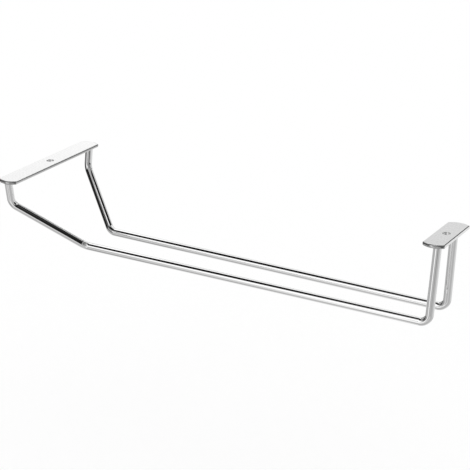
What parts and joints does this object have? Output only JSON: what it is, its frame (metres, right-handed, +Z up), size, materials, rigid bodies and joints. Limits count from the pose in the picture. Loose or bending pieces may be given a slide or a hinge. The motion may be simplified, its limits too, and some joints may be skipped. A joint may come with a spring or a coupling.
{
  "type": "hanging wine glass rack",
  "caption": "Chromed wire rack that hangs stemware by the foot under a shelf, with a flared entrance and a closed rear.",
  "frame": {"origin": "on the mounting plane, which is the plates' top faces, midway between the two screw holes", "axes": "+X along the rack from the flared entrance at the front to the closed rear, +Y across the rack, +Z up towards the shelf"},
  "size_m": [0.406, 0.135, 0.0755],
  "materials": {
    "rail_chrome": "polished chrome plate on drawn steel wire",
    "plate_chrome": "polished chrome plate on flat steel strap",
    "weld_chrome": "chrome plate over weld metal"
  },
  "bodies": {
    "root": {"near_rail": "rail_chrome", "far_rail": "rail_chrome", "front_plate": "plate_chrome", "rear_plate": "plate_chrome", "front_weld_beads": "weld_chrome", "rear_weld_beads": "weld_chrome"}
  },
  "joints": []
}
